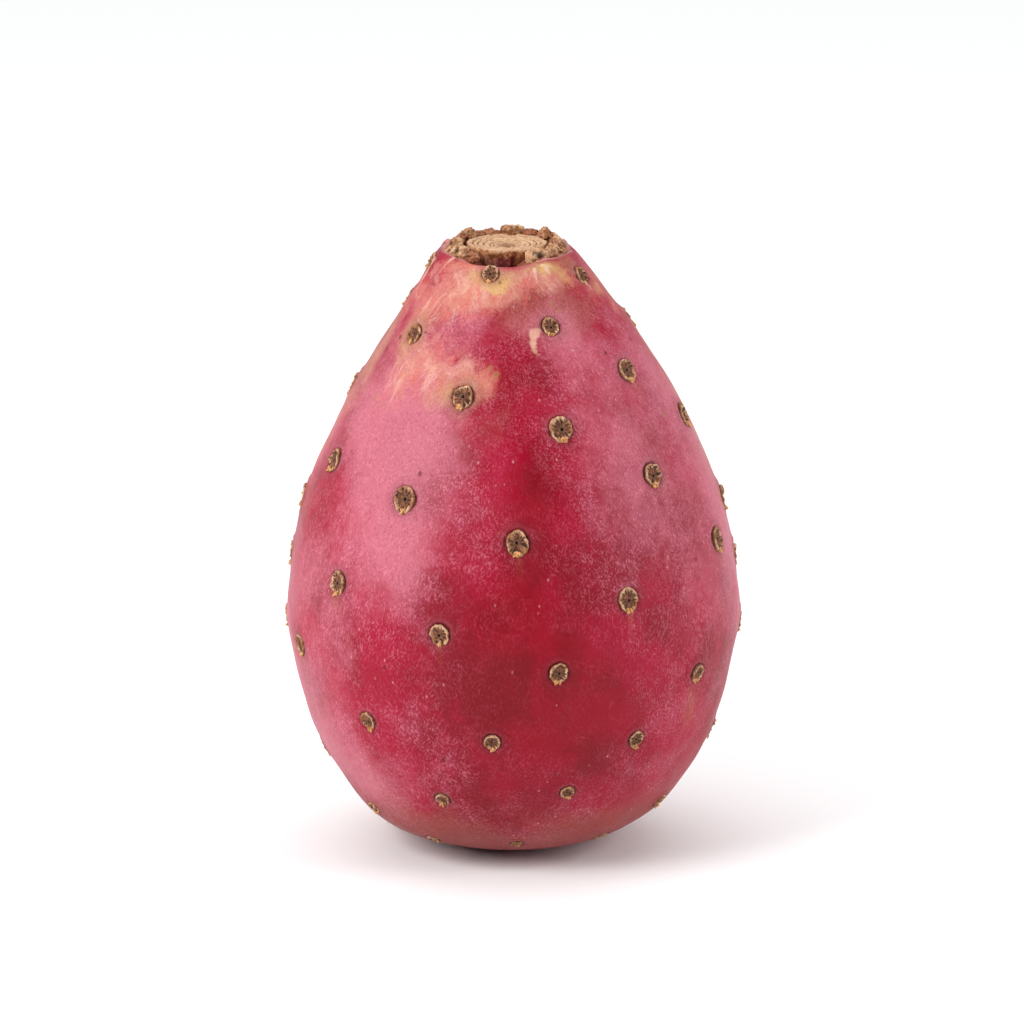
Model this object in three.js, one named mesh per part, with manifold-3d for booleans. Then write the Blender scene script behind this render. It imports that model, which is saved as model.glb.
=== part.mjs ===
// A whole prickly pear fruit, standing on its broad flower end with the corky stem scar on top.
// The fruit grew as one piece, so it is one solid: an egg-shaped body that swells a little at each
// areole, with the raised areole pads on it, a shallow flower scar underneath and a woody crown.
// Millimetres, +Z up, origin under the middle of the fruit. Azimuths are in degrees from the front
// (-Y), positive towards +X.
import * as THREE from "three";
import { mergeVertices } from "three/addons/utils/BufferGeometryUtils.js";
import Module from "manifold-3d";

// Driving dimensions
const GIRTH_RADIUS = 28.2;
const BODY_HEIGHT = 76.6;
const FOOT_RADIUS = 7.2;
const DISH_RADIUS = 4.6;
const DISH_DEPTH = 1.7;
const SCAR_RADIUS = 5.2;
const SCAR_THICKNESS = 3;
const SCAR_SINK = 1;
const CROWN_RADIUS = 6.7;
const CROWN_LUMPS = 12;
const LUMP_RADIUS = { mean: 1.55, swing: 0.25 };
const LUMP_STRETCH = [1.15, 0.9, 0.75];
const LUMP_HEIGHT_SWING = 0.25;
const AREOLE_RADIUS = 1.6;
const AREOLE_RISE = 0.55;
const AREOLE_ROOT = 1.2;
const SPUR = { reach: 0.5, stretch: 1.3 };
const LEAST_SPACING = 6.5;

// Mesh fineness
const MERIDIANS = 52;
const OUTLINE_STEPS = 28;
const PAD_SIDES = 7;
const SCAR_SIDES = 20;
const LUMP_SIDES = 7;
const LUMP_RINGS = 5;
const HALVINGS = 40;
const SLOPE_STEP = 0.5;
const SAME_PLACE = 1e-4;
const ON_AXIS = 1e-6;

// Shape of the flesh between the areoles
const LOBES = [
  { count: 2, share: 0.008, phase: 20 },
  { count: 3, share: 0.006, phase: 75 },
  { count: 5, share: 0.004, phase: 10 },
];
const SWELL = { height: 0.35, reach: 5.5 };
const FOOT_FADE = 6;
const CROWN_FADE = 5;

// Half section of the flower scar's dish, as shares of its radius and depth.
const DISH = [
  [0, 1],
  [0.55, 0.9],
  [0.88, 0.45],
  [1, 0],
];

// Half section of an areole pad: [share of its radius, height].
const PAD = [
  [0, -AREOLE_ROOT],
  [0.9, -AREOLE_ROOT],
  [1, AREOLE_RISE * 0.3],
  [0.75, AREOLE_RISE],
  [0, AREOLE_RISE * 0.5],
];

// Half outline from the foot up to the crown, as shares of the girth radius and the body height.
const OUTLINE = [
  [FOOT_RADIUS / GIRTH_RADIUS, 0],
  [0.41, 0.016],
  [0.56, 0.038],
  [0.69, 0.076],
  [0.8, 0.135],
  [0.91, 0.215],
  [0.98, 0.318],
  [1, 0.418],
  [0.944, 0.549],
  [0.814, 0.68],
  [0.626, 0.81],
  [0.434, 0.915],
  [0.318, 0.982],
  [0.262, 1],
];

// Areoles of the front half by spiral row, [azimuth, height]. Each row runs down to the right, and
// the back half carries the same rows half a turn further round.
const SPIRAL_ROWS = [
  [[-15, 74.6], [21, 68.8], [54, 62.8], [80, 55.6]],
  [[-54, 67], [-18.5, 61], [17, 57.6], [46.5, 51], [68, 41.2], [87, 28.4]],
  [[-97, 69.5], [-68, 51], [-32, 49], [1.5, 44.9], [30.5, 37.2], [54.5, 25.7], [80.5, 15]],
  [[-96, 58.2], [-50, 37.7], [-18, 33.6], [11.5, 29], [35, 18.8], [63, 7]],
  [[-91, 36.8], [-68, 27.7], [-40.5, 20.8], [-5, 19.9], [16.5, 12.3], [40.5, 3.6]],
  [[-78, 12.5], [-56.5, 6.8], [-21.5, 11], [2, 3.8]],
  [[-34, 3.8]],
  [[62, 73.5], [98, 66.8], [88.5, 44.2]],
  [[-83, 74.6]],
];
const HALF_TURN = 180;

const wasm = await Module();
wasm.setup();

const outline = new THREE.SplineCurve(
  OUTLINE.map(([r, z]) => new THREE.Vector2(r * GIRTH_RADIUS, z * BODY_HEIGHT)),
);

// Radius of the plain body at a height, read off the outline.
function radiusAt(height) {
  let low = 0;
  let high = 1;
  for (let i = 0; i < HALVINGS; i++) {
    const middle = (low + high) / 2;
    if (outline.getPoint(middle).y < height) low = middle;
    else high = middle;
  }
  return outline.getPoint(low).x;
}

function onBody(azimuth, height) {
  const turn = THREE.MathUtils.degToRad(azimuth);
  const r = radiusAt(height);
  return new THREE.Vector3(r * Math.sin(turn), -r * Math.cos(turn), height);
}

// Every areole place, leaving out one that would crowd an earlier one.
function areolePlaces() {
  const places = [];
  for (const turn of [0, HALF_TURN]) {
    for (const [azimuth, height] of SPIRAL_ROWS.flat()) {
      const point = onBody(azimuth + turn, height);
      const crowded = places.some((other) => other.point.distanceTo(point) < LEAST_SPACING);
      if (!crowded) places.push({ azimuth: azimuth + turn, height, point });
    }
  }
  return places;
}

const areoles = areolePlaces();

// How far the skin stands out from the plain body at a point: slow lobes and a swelling round each
// areole. It fades to nothing at the foot and at the crown.
function relief(point) {
  const turn = Math.atan2(point.x, -point.y);
  const fade =
    THREE.MathUtils.smoothstep(point.z, 0, FOOT_FADE) *
    (1 - THREE.MathUtils.smoothstep(point.z, BODY_HEIGHT - CROWN_FADE, BODY_HEIGHT));
  let out = 0;
  for (const { count, share, phase } of LOBES) {
    out += GIRTH_RADIUS * share * Math.cos(count * (turn - THREE.MathUtils.degToRad(phase)));
  }
  for (const areole of areoles) {
    out += SWELL.height * Math.exp(-((areole.point.distanceTo(point) / SWELL.reach) ** 2));
  }
  return out * fade;
}

// A closed geometry as a solid that can be joined to others.
function solid(geometry) {
  const bare = geometry.clone();
  bare.deleteAttribute("normal");
  bare.deleteAttribute("uv");
  const merged = mergeVertices(bare, SAME_PLACE);
  return new wasm.Manifold(
    new wasm.Mesh({
      numProp: 3,
      vertProperties: new Float32Array(merged.attributes.position.array),
      triVerts: new Uint32Array(merged.index.array),
    }),
  );
}

// The egg-shaped body, from the flower scar's dish up over the outline to the top.
function body() {
  const dish = DISH.map(([r, z]) => new THREE.Vector2(r * DISH_RADIUS, z * DISH_DEPTH));
  const profile = [...dish, ...outline.getPoints(OUTLINE_STEPS), new THREE.Vector2(0, BODY_HEIGHT)];
  const geometry = new THREE.LatheGeometry(profile, MERIDIANS).rotateX(Math.PI / 2);
  const position = geometry.attributes.position;
  const point = new THREE.Vector3();
  for (let i = 0; i < position.count; i++) {
    point.fromBufferAttribute(position, i);
    const r = Math.hypot(point.x, point.y);
    if (r < ON_AXIS) continue;
    const grown = (r + relief(point)) / r;
    position.setXY(i, point.x * grown, point.y * grown);
  }
  return solid(geometry);
}

// One corky pad: a low disc, rimmed and hollowed in the middle, with a spur on its lower edge.
function padGeometry() {
  const profile = PAD.map(([r, height]) => new THREE.Vector2(r * AREOLE_RADIUS, height));
  const geometry = new THREE.LatheGeometry(profile, PAD_SIDES).rotateX(Math.PI / 2);
  const position = geometry.attributes.position;
  for (let i = 0; i < position.count; i++) {
    const fromLowest = Math.hypot(position.getX(i), position.getY(i) + AREOLE_RADIUS);
    if (fromLowest < SPUR.reach) position.setY(i, position.getY(i) * SPUR.stretch);
  }
  return geometry;
}

// Outward direction of the plain body at an areole, square to the outline there.
function outward({ azimuth, height }) {
  const rise = radiusAt(height + SLOPE_STEP) - radiusAt(height - SLOPE_STEP);
  const slope = rise / (2 * SLOPE_STEP);
  const turn = THREE.MathUtils.degToRad(azimuth);
  return new THREE.Vector3(Math.sin(turn), -Math.cos(turn), -slope).normalize();
}

function areolePads() {
  const pad = padGeometry();
  return areoles.map((areole) => {
    const out = outward(areole);
    const across = new THREE.Vector3(0, 0, 1).cross(out).normalize();
    const up = out.clone().cross(across);
    const skin = areole.point.clone().addScaledVector(out, relief(areole.point));
    const place = new THREE.Matrix4().makeBasis(across, up, out).setPosition(skin);
    return solid(pad.clone().applyMatrix4(place));
  });
}

// The stem scar: a flat woody disc ringed by lumps of cork.
function crown() {
  const scar = new THREE.CylinderGeometry(SCAR_RADIUS, SCAR_RADIUS, SCAR_THICKNESS, SCAR_SIDES);
  scar.rotateX(Math.PI / 2).translate(0, 0, BODY_HEIGHT - SCAR_SINK);
  const lumps = [];
  for (let i = 0; i < CROWN_LUMPS; i++) {
    const turn = (i / CROWN_LUMPS) * 2 * Math.PI;
    const size = LUMP_RADIUS.mean + LUMP_RADIUS.swing * Math.sin(3 * turn + 1);
    const lump = new THREE.SphereGeometry(size, LUMP_SIDES, LUMP_RINGS);
    lump.scale(...LUMP_STRETCH).rotateZ(turn);
    lump.translate(
      CROWN_RADIUS * Math.sin(turn),
      -CROWN_RADIUS * Math.cos(turn),
      BODY_HEIGHT + LUMP_HEIGHT_SWING * Math.cos(2 * turn),
    );
    lumps.push(solid(lump));
  }
  return [solid(scar), ...lumps];
}

// The whole fruit in one closed mesh, with its box centred over the origin.
function fruitGeometry() {
  const grown = wasm.Manifold.union([body(), ...areolePads(), ...crown()]);
  const { vertProperties, triVerts } = grown.getMesh();
  const geometry = new THREE.BufferGeometry();
  geometry.setAttribute("position", new THREE.BufferAttribute(new Float32Array(vertProperties), 3));
  geometry.setIndex(new THREE.BufferAttribute(new Uint32Array(triVerts), 1));
  geometry.computeBoundingBox();
  const middle = geometry.boundingBox.getCenter(new THREE.Vector3());
  geometry.translate(-middle.x, -middle.y, 0);
  geometry.computeVertexNormals();
  return geometry;
}

const skin = new THREE.MeshStandardMaterial({ color: 0xa8203f, roughness: 0.55, metalness: 0 });
const fruit = new THREE.Mesh(fruitGeometry(), skin);
fruit.name = "fruit";

const prickly_pear = new THREE.Group();
prickly_pear.add(fruit);

export default prickly_pear;
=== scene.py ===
import math
import random

import bmesh
import bpy
import numpy as np
from mathutils import Matrix, Vector, kdtree, noise


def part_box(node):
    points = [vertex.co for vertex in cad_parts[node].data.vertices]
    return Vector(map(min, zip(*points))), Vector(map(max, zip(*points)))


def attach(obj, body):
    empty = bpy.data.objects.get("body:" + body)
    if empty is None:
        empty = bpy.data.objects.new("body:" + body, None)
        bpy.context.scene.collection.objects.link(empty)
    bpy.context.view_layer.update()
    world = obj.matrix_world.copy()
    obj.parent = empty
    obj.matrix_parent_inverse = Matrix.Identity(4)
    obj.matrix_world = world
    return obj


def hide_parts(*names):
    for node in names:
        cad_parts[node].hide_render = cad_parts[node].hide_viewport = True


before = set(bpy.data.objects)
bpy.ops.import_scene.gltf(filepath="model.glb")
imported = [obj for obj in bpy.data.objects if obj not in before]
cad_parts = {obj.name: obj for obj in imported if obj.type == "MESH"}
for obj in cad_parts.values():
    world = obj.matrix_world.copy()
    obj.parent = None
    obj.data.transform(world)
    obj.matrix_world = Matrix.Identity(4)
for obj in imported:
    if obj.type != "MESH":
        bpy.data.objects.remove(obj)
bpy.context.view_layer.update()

# The rind
# The fruit's own skin is a thick, waxy, egg-shaped rind that grew as one piece with the flesh. It is
# crimson with a pale bloom, goes cream and olive round the stem, and swells a little at each areole.
# The pale bloom patches are partly painted highlight, where the side lights and the white room would
# shine on the wax, and a darker band down the front is painted shade.
MM = 0.001
low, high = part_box("fruit")
PAD_STAND = 0.8 * MM
KNOB_STAND = 1.47 * MM
girth_radius = (high.x - low.x) / 2 - PAD_STAND
body_height = high.z - low.z - KNOB_STAND
AXIS_SHIFT = Vector((-0.24 * MM, -0.05 * MM, 0))
# The stem end leans a little to the left.
LEAN = -0.65 * MM
LEAN_START = 64 * MM

DISH_RADIUS = 4.6 * MM
DISH_DEPTH = 1.7 * MM
FOOT_RADIUS = 7.2 * MM
STUMP_RADIUS = 4.95 * MM
MERIDIANS = 340
RING_STEP = 0.4 * MM

# Half outline from the foot to the shoulder, as shares of the girth radius and the body height.
OUTLINE = [
    (FOOT_RADIUS / girth_radius, 0),
    (0.41, 0.016),
    (0.56, 0.038),
    (0.69, 0.076),
    (0.8, 0.135),
    (0.91, 0.215),
    (0.98, 0.318),
    (1, 0.418),
    (0.944, 0.549),
    (0.814, 0.68),
    (0.626, 0.81),
    (0.434, 0.915),
    (0.318, 0.982),
    (0.262, 1),
]
# The seat that the skin leaves round the stump: a soft lip, then a moat under the stump's edge.
LIP_RADIUS = 7.5 * MM
LIP_DROP = 0.55 * MM
MOAT_RADIUS = 5.6 * MM
MOAT_DROP = 1.9 * MM
# At the front the skin has pulled away below the stump, and shows the stump's side.
GAP_RADIUS = 9.6 * MM
GAP_AZIMUTH = -10
GAP_SPREAD = 31
GAP_DROP = 0.95 * MM
# Between the front and the back the lip is lower too.
FLANK_SPREAD = 112
FLANK_DROP = 0.45 * MM
SEAT_RISE = 1.25 * MM

LOBES = [(2, 0.008, 20), (3, 0.006, 75), (5, 0.004, 10)]
SWELL_HEIGHT = 0.16 * MM
SWELL_REACH = 5.5 * MM
FULLNESS = 0.16 * MM
LEAST_SPACING = 6.5 * MM
PAD_RADIUS = 1.6 * MM

# Areoles of the front half by spiral row, (azimuth, height in mm). The back half carries the same
# rows half a turn further round.
SPIRAL_ROWS = [
    [(-12, 74.6), (21.5, 68.8), (54, 62.8), (80, 55.6)],
    [(-54, 67), (-18.5, 61), (17, 57.6), (46.5, 51), (68, 41.2), (87, 28.4)],
    [(-97, 69.5), (-68, 51), (-32, 49), (1.5, 44.9), (30.5, 37.2), (54.5, 25.7), (80.5, 15)],
    [(-96, 58.2), (-50, 37.7), (-18, 33.6), (11.5, 29), (35, 18.8), (63, 7)],
    [(-91, 36.8), (-68, 27.7), (-40.5, 20.8), (-5, 19.9), (16.5, 12.3), (40.5, 3.6)],
    [(-78, 12.5), (-56.5, 6.8), (-21.5, 11), (2, 3.8)],
    [(-34, 3.8)],
    [(62, 73.5), (98, 66.8), (88.5, 44.2)],
    [(-83, 74.6)],
]

# Creases and folds that run down from the stump, as (azimuth, height) to (azimuth, height) in mm,
# with their rise in mm (a furrow is negative) and half width in mm.
CREASES = [
    ((-51, 76), (-60, 72.5), 0.22, 0.5),
    ((29, 75.4), (57, 74), 0.28, 0.3),
    ((57, 74), (66, 70), 0.18, 0.4),
    ((22, 75.2), (20, 72.5), 0.22, 0.35),
    ((31, 75), (34, 73.6), 0.2, 0.6),
    ((-74, 75), (-80, 69), 0.2, 0.6),
    ((-66, 74), (-72, 66), -0.25, 0.8),
    ((-30, 75), (-34, 71), -0.2, 0.5),
    ((6, 75), (9, 70), -0.2, 0.9),
    ((44, 75), (50, 66), -0.2, 0.9),
    ((-36, 75), (-44, 69), -0.2, 0.7),
    ((120, 76), (126, 69), 0.3, 0.6),
    ((158, 76), (150, 70), 0.3, 0.6),
    ((-160, 76), (-150, 71), 0.25, 0.6),
    ((-118, 76), (-126, 68), 0.3, 0.6),
    ((140, 75), (138, 66), -0.25, 0.9),
    ((-138, 75), (-140, 67), -0.25, 0.9),
    ((176, 75), (172, 68), -0.2, 0.8),
]


def smooth(value, start, end):
    """0 before start, 1 after end and a soft step between them."""
    t = min(max((value - start) / (end - start), 0), 1)
    return t * t * (3 - 2 * t)


def outline_at(share):
    """A point (radius, height) on the smooth line through the outline's points."""
    spot = share * (len(OUTLINE) - 1)
    first = min(int(spot), len(OUTLINE) - 2)
    t = spot - first
    last = len(OUTLINE) - 1
    before, start, end, after = (
        Vector(OUTLINE[min(max(i, 0), last)]) for i in range(first - 1, first + 3)
    )
    leave, arrive = (end - before) / 2, (after - start) / 2
    bend = (2 * start - 2 * end + leave + arrive) * t**3
    turn = (3 * end - 3 * start - 2 * leave - arrive) * t**2
    x, z = bend + turn + leave * t + start
    return x * girth_radius, z * body_height


def radius_at(height):
    """Radius of the plain body at a height."""
    below, above = 0.0, 1.0
    for _ in range(30):
        middle = (below + above) / 2
        if outline_at(middle)[1] < height:
            below = middle
        else:
            above = middle
    return outline_at(below)[0]


def on_body(azimuth, height):
    """The plain body's point at an azimuth in degrees from the front and a height in metres."""
    turn = math.radians(azimuth)
    r = radius_at(height)
    return Vector((r * math.sin(turn), -r * math.cos(turn), height))


def facing(azimuth, height):
    """Square axes on the plain body: across it, up it towards the stem, and out of it."""
    step = 0.5 * MM
    slope = (radius_at(height + step) - radius_at(height - step)) / (2 * step)
    turn = math.radians(azimuth)
    out = Vector((math.sin(turn), -math.cos(turn), -slope)).normalized()
    across = Vector((0, 0, 1)).cross(out).normalized()
    return across, out.cross(across), out


# Pads are largest on the shoulder, and smaller towards the stump and the foot.
SIZE_HEIGHTS = [0, 12, 20, 30, 45, 60, 68, 75]
SIZES = [0.56, 0.64, 0.70, 0.79, 0.93, 0.90, 0.75, 0.66]

areoles = []
for half_turn in (0, 180):
    for azimuth, height_mm in (place for row in SPIRAL_ROWS for place in row):
        spot = on_body(azimuth + half_turn, height_mm * MM)
        if all((spot - other["spot"]).length >= LEAST_SPACING for other in areoles):
            across, up, out = facing(azimuth + half_turn, height_mm * MM)
            size = float(np.interp(height_mm, SIZE_HEIGHTS, SIZES))
            areoles.append({"spot": spot, "across": across, "up": up, "out": out, "size": size})
areole_tree = kdtree.KDTree(len(areoles))
for number, areole in enumerate(areoles):
    areole_tree.insert(areole["spot"], number)
areole_tree.balance()

folds = [
    (on_body(*[a[0], a[1] * MM]), on_body(*[b[0], b[1] * MM]), rise * MM, width * MM)
    for a, b, rise, width in CREASES
]


FOLDS_START = 60 * MM
CREST_WIDTH = 0.4 * MM


def beside_folds(point):
    """For each fold near a point: how far along it the point lies, how far from it, its rise and width."""
    for start, end, rise, width in folds if point.z >= FOLDS_START else ():
        along = end - start
        t = min(max((point - start).dot(along) / along.length_squared, 0), 1)
        yield t, (point - start - along * t).length, rise, width


def fold_relief(point):
    """How far the creases below the stump lift or sink the skin at a point."""
    lift = 0
    for t, gap, rise, width in beside_folds(point):
        taper = 1 - 0.7 * t
        lift += rise * taper * math.exp(-((gap / width) ** 2))
    return lift


def crest_at(point):
    """0 to 1, how close a point lies to the crest of a fold below the stump."""
    nearest = 0
    for t, gap, rise, _ in beside_folds(point):
        if rise > 0:
            nearest = max(nearest, (1 - 0.6 * t) * math.exp(-((gap / CREST_WIDTH) ** 2)))
    return nearest


def body_relief(point):
    """How far the skin stands out sideways from the plain body: slow lobes, and a swell at each areole."""
    turn = math.atan2(point.x, -point.y)
    fade = smooth(point.z, 0, 6 * MM) * (1 - smooth(point.z, body_height - 5 * MM, body_height))
    lift = FULLNESS + sum(
        girth_radius * share * math.cos(count * (turn - math.radians(phase)))
        for count, share, phase in LOBES
    )
    for spot, _, gap in areole_tree.find_range(point, 2.5 * SWELL_REACH):
        lift += SWELL_HEIGHT * math.exp(-((gap / SWELL_REACH) ** 2))
    return lift * fade


def fine_relief(point):
    """Dents and wrinkles of the rind, square to it."""
    fade = smooth(point.z, 0.3 * MM, 5 * MM)
    dents = noise.noise(point / (11 * MM)) * 0.28 + noise.noise(point / (4.5 * MM)) * 0.11
    return (dents * fade * MM) + fold_relief(point)


def socket_relief(gap, above):
    """The seat of an areole pad: sunk under the pad, with a raised lip that is highest on the stem side."""
    ring = gap / PAD_RADIUS
    seat = -0.28 * MM * (1 - smooth(ring, 0.85, 1.2))
    lip = (0.14 + 0.08 * above) * MM * math.exp(-(((ring - 1.42) / 0.26) ** 2))
    return seat + lip


# The half outline as a chain of evenly spaced points, from the middle of the flower scar's dish to
# the middle of the moat's floor.
chain = [(0, DISH_DEPTH), (DISH_RADIUS * 0.55, DISH_DEPTH * 0.9), (DISH_RADIUS * 0.88, DISH_DEPTH * 0.45)]
chain += [(DISH_RADIUS, 0.12 * MM), (DISH_RADIUS + 0.5 * MM, 0), (FOOT_RADIUS - 0.4 * MM, 0)]
chain += [outline_at(i / 300) for i in range(2, 288)]
chain += [
    (LIP_RADIUS, body_height - LIP_DROP),
    (LIP_RADIUS - 0.8 * MM, body_height - LIP_DROP - 0.1 * MM),
    (LIP_RADIUS - 1.4 * MM, body_height - MOAT_DROP * 0.75),
    (MOAT_RADIUS, body_height - MOAT_DROP),
    (MOAT_RADIUS * 0.6, body_height - MOAT_DROP),
    (0, body_height - MOAT_DROP),
]
rings = [chain[0]]
owed = RING_STEP
for (x0, z0), (x1, z1) in zip(chain, chain[1:]):
    length = math.hypot(x1 - x0, z1 - z0)
    walked = owed
    while walked < length:
        share = walked / length
        rings.append((x0 + (x1 - x0) * share, z0 + (z1 - z0) * share))
        walked += RING_STEP
    owed = walked - length
rings.append(chain[-1])


def lathe(profile, steps, closest):
    """A closed shape turned about the z axis from points in a plane through it."""
    shape = bmesh.new()
    points = [shape.verts.new(point) for point in profile]
    lines = [shape.edges.new(pair) for pair in zip(points, points[1:])]
    bmesh.ops.spin(
        shape, geom=points + lines, cent=(0, 0, 0), axis=(0, 0, 1), angle=math.tau, steps=steps,
        use_merge=True,
    )
    bmesh.ops.remove_doubles(shape, verts=shape.verts, dist=closest)
    bmesh.ops.recalc_face_normals(shape, faces=shape.faces)
    return shape


skin = lathe([(0, -x, z) for x, z in rings], MERIDIANS, 0.01 * MM)
skin.normal_update()
skin.verts.index_update()

areole_of_face = [areole_tree.find(face.calc_center_median())[1] for face in skin.faces]
plain = [vert.co.copy() for vert in skin.verts]
around = [vert.normal.copy() for vert in skin.verts]
for vert in skin.verts:
    point = plain[vert.index]
    radius = math.hypot(point.x, point.y)
    if radius < 0.1 * MM:
        continue
    if point.z > body_height / 2 and radius < GAP_RADIUS:
        off_front = abs(math.degrees(math.atan2(point.x, -point.y)) - GAP_AZIMUTH)
        in_gap = math.exp(-((off_front / GAP_SPREAD) ** 4))
        ragged_lip = noise.noise(Vector((point.x, point.y, 0)) / (1.9 * MM)) * 0.55 * MM
        drop = GAP_DROP * in_gap + ragged_lip * smooth(-radius, -LIP_RADIUS - 1.2 * MM, -LIP_RADIUS)
        drop += FLANK_DROP * math.exp(-((off_front / FLANK_SPREAD) ** 6))
        vert.co.z -= drop * (1 - smooth(radius, LIP_RADIUS - 0.5 * MM, GAP_RADIUS))
        vert.co.z += SEAT_RISE * (1 - in_gap) * (1 - smooth(radius, MOAT_RADIUS, LIP_RADIUS))
        if radius < MOAT_RADIUS:
            continue
    outward = Vector((point.x, point.y, 0)) / radius
    spot, number, gap = areole_tree.find(point)
    above = (point - spot).dot(areoles[number]["up"]) / max(gap, 0.1 * MM)
    vert.co += outward * body_relief(point)
    if point.z > 0.05 * MM:
        size = areoles[number]["size"]
        vert.co += around[vert.index] * (fine_relief(point) + size * socket_relief(gap / size, above))
    vert.co.z = max(vert.co.z, 0)

# Slow colour patches, as (azimuth, height in mm, reach across in mm, reach up in mm, strength). The
# back carries the same patches half a turn further round.
CREAM = [
    (-16, 72.5, 3.8, 2.6, 0.75), (-38, 72, 4.5, 3.5, 0.5), (-58, 70, 5, 6, 0.25), (-36, 64, 6, 4, 0.45),
    (8, 73, 4, 1.8, 0.4), (30, 74.3, 3, 1.6, 0.7), (58, 73, 4, 4, 0.2), (84, 71, 5, 5, 0.2),
    (-86, 71, 6, 6, 0.1), (-16, 62.5, 4, 2.6, 0.45), (-52, 60, 5, 4, 0.3), (-30, 75.4, 6, 1, 0.5),
]
OLIVE = [
    (-28, 74.4, 1.6, 1.4, 0.8), (-4, 74.2, 2.2, 1.7, 0.9), (29, 75.5, 2.2, 1.4, 0.7),
    (58, 75, 2.5, 2, 0.7), (-55, 67, 2.6, 3.8, 0.95), (-20, 61, 3.2, 2.8, 0.8), (-86, 66, 4, 6, 0.5),
    (52, 72, 2.4, 2.6, 0.4), (47, 50, 2.6, 3.2, 0.55), (84, 46, 4, 9, 0.45), (30, 63, 4, 4, 0.3),
    (-50, 36, 2.4, 3, 0.45), (54, 22, 2.6, 5, 0.5), (-70, 26, 3, 4, 0.4), (-42, 65, 5, 4, 0.25),
    (-30, 61, 4, 3.5, 0.3), (-74, 60, 4, 7, 0.35), (16, 75, 2, 1.2, 0.4), (-7, 64, 2.2, 2.4, 0.35),
    (92, 56, 5, 10, 0.5),
]
# Bloom patches: the real pale wax, and also painted highlight where the left and right lights would shine,
# and painted reflection along the far edges. A negative strength paints shade down the front.
BLOOM_AND_PAINTED_LIGHT = [
    (-36, 55, 8, 13, 1), (-56, 58, 7, 9, 0.7), (40, 54, 8, 13, 0.68), (60, 38, 7, 12, 0.45),
    (-56, 24, 7, 10, 0.35), (86, 30, 6, 18, 0.6), (-88, 52, 6, 12, 0.4), (-84, 24, 6, 12, 0.6),
    (22, 66, 6, 4, 0.4), (-62, 38, 6, 6, 0.55), (78, 48, 5, 14, 0.6), (-40, 44, 5, 5, 0.5),
    (-22, 70, 6, 3, 0.4), (-45, 31, 4, 6, 0.35), (70, 62, 5, 6, 0.5), (2, 27, 7, 9, -1.0),
    (6, 50, 4, 9, -0.7), (-34, 28, 4, 5, -0.4), (24, 22, 6, 7, -0.6), (-6, 13, 8, 4, -0.4),
    (-30, 41, 4.5, 7, 0.6), (-66, 16, 6, 8, 0.5), (-48, 12, 6, 6, 0.7), (0, 36, 5, 6, -0.5),
    (3, 63, 4, 4, -0.6), (12, 26, 6, 8, -0.6), (-22, 14, 4, 5, 0.3), (-88, 44, 3, 6, -0.4),
    (27, 69.5, 3.5, 3, 0.6),
]
RUSSET = [
    (0, 3, 22, 5, 0.9), (60, 4, 20, 5, 0.8), (-60, 4, 20, 5, 0.8), (-78, 44, 5, 5, 0.5),
    (8, 71, 7, 4, 0.8), (36, 70, 6, 4, 0.6), (-8, 58.5, 4, 4, 0.5), (72, 20, 5, 7, 0.4),
    (-86, 34, 4, 8, 0.5), (-14, 22, 4, 4, 0.1), (-42, 14, 4, 5, 0.4), (0, 44, 3, 2.5, 0.2),
]
# Yellow-green skin close to the stem's own areoles.
GREEN = [
    (-4, 73.6, 1.3, 1.5, 1), (-19, 74.2, 1.5, 1.2, 0.9), (-11, 72.8, 1.6, 0.8, 0.6), (31, 75.2, 2, 1, 0.8),
    (45, 73.5, 1.5, 2.2, 0.6), (-24, 61.5, 0.8, 1.8, 0.7), (-54, 65, 1.5, 3, 0.5), (70, 72, 2, 3, 0.4),
]
# A pale scar beside an areole, and small dry scabs where the skin was scratched.
SCAR = [(13.5, 68.2, 0.9, 0.8, 1), (10.5, 67, 0.5, 1.2, 0.9), (11.5, 65.9, 0.35, 0.8, 0.6)]
SCABS = [
    (-9, 64.4, 0.45, 0.4, 1), (-6.8, 63.7, 0.5, 0.35, 1), (27, 71.2, 0.5, 0.4, 0.8),
    (30, 70.4, 0.5, 0.4, 0.8), (-41, 69.6, 0.3, 0.3, 1), (-60, 59, 0.35, 0.7, 0.8),
    (-57, 58.5, 0.3, 0.4, 0.8), (64, 57, 0.4, 0.7, 0.8), (-26, 57, 0.3, 0.35, 0.8),
]


def patch_strengths(points, patches):
    """How strongly each point lies in the patches, on the front and again half a turn round."""
    total = np.zeros(len(points))
    for half_turn in (0, 180):
        for azimuth, height_mm, wide, tall, strength in patches:
            spot = on_body(azimuth + half_turn, height_mm * MM)
            across, up, out = facing(azimuth + half_turn, height_mm * MM)
            away = (points - np.array(spot)) / MM
            depth = (away @ out) / min(wide, tall)
            gap = (away @ across / wide) ** 2 + (away @ up / tall) ** 2 + (depth / 2) ** 2
            total += strength * np.exp(-gap)
    return total


def finished(name, shape, material):
    """Makes a piece of a bmesh, smooth shaded and moved to the fruit's own, leaning axis."""
    for vert in shape.verts:
        vert.co += AXIS_SHIFT
        vert.co.x += LEAN * smooth(vert.co.z, LEAN_START, body_height)
    for face in shape.faces:
        face.smooth = True
    mesh = bpy.data.meshes.new(name)
    shape.to_mesh(mesh)
    shape.free()
    mesh.materials.append(material)
    piece = bpy.data.objects.new(name, mesh)
    bpy.context.scene.collection.objects.link(piece)
    return piece


def new_material(name):
    material = bpy.data.materials.new(name)
    material.use_nodes = True
    material.node_tree.nodes.clear()
    return material


def add_node(tree, kind, inputs=None, **settings):
    """Adds a shader node. An input is a value, or a socket to link from."""
    node = tree.nodes.new("ShaderNode" + kind)
    for name, value in settings.items():
        setattr(node, name, value)
    for socket, value in (inputs or {}).items():
        if isinstance(value, bpy.types.NodeSocket):
            tree.links.new(value, node.inputs[socket])
        else:
            node.inputs[socket].default_value = value
    return node


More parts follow.
